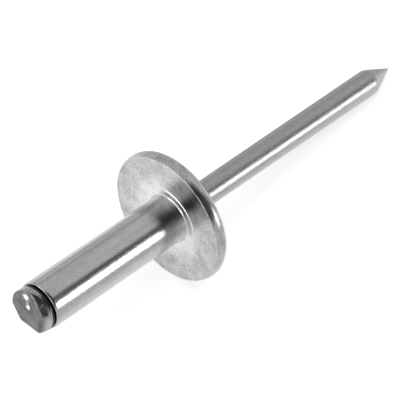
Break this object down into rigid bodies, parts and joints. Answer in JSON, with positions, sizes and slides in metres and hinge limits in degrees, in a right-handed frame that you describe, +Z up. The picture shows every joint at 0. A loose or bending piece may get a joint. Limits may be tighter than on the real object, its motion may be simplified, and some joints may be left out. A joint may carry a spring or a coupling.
{
  "type": "pop rivet",
  "caption": "Open-end blind rivet with a large domed flange, bright aluminium body and pointed steel mandrel, not yet set.",
  "frame": {"origin": "middle of the base of the rivet's box as it lies at rest on the rim of its flange and the shoulder of its mandrel's point", "axes": "+X along the rivet towards the mandrel's point, as seen from above, +Y across it, +Z up; the rivet's own axis dips 11.6 degrees below +X"},
  "size_m": [0.05, 0.0142, 0.014],
  "materials": {
    "body_aluminium": "bright cold-headed aluminium with fine drawn marks along the shank and faint turned rings on the flange",
    "mandrel_steel": "bright drawn steel wire, pressed head with a rough sheared end"
  },
  "bodies": {
    "root": {"rivet_body": "body_aluminium", "mandrel": "mandrel_steel"}
  },
  "joints": []
}
